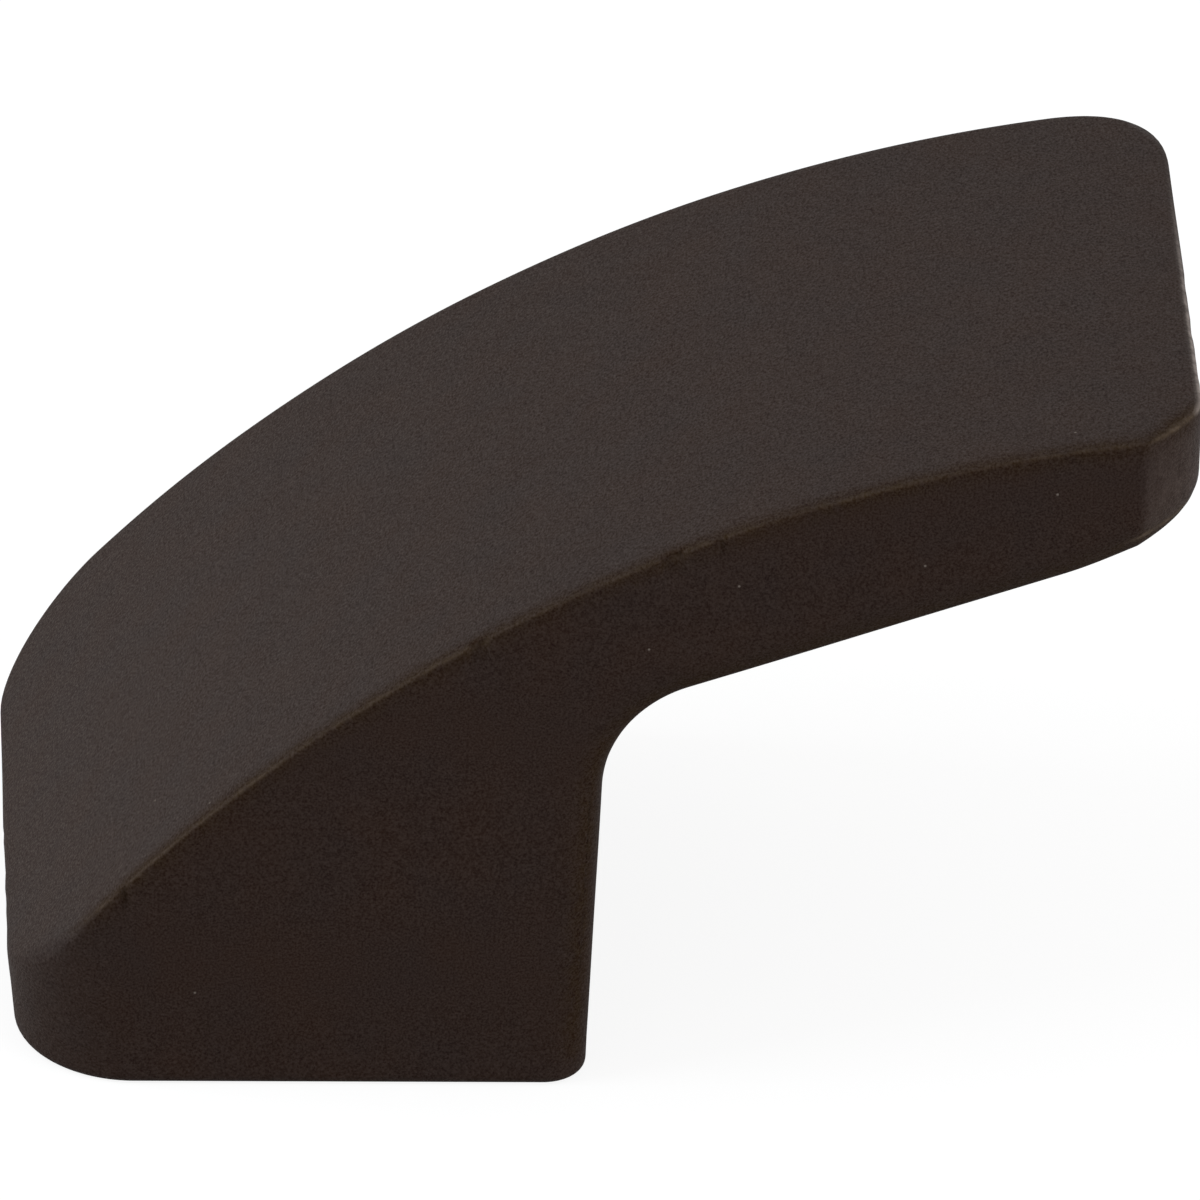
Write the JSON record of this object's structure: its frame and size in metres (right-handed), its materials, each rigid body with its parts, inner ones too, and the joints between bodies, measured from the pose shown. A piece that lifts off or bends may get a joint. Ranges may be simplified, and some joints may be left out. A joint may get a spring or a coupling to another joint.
{
  "type": "cabinet knob",
  "caption": "Cast cabinet knob: a block stem with a tapped screw hole carries a curved lip that a fingertip pulls from below, in matte dark bronze.",
  "frame": {"origin": "centre of the screw hole, on the base face that lies against the cabinet", "axes": "+X from the heel to the lip's tip, +Y across the knob, +Z out from the cabinet face"},
  "size_m": [0.0317, 0.0192, 0.0201],
  "materials": {
    "dark_bronze": "matte"
  },
  "bodies": {
    "root": {"knob": "dark_bronze"}
  },
  "joints": []
}
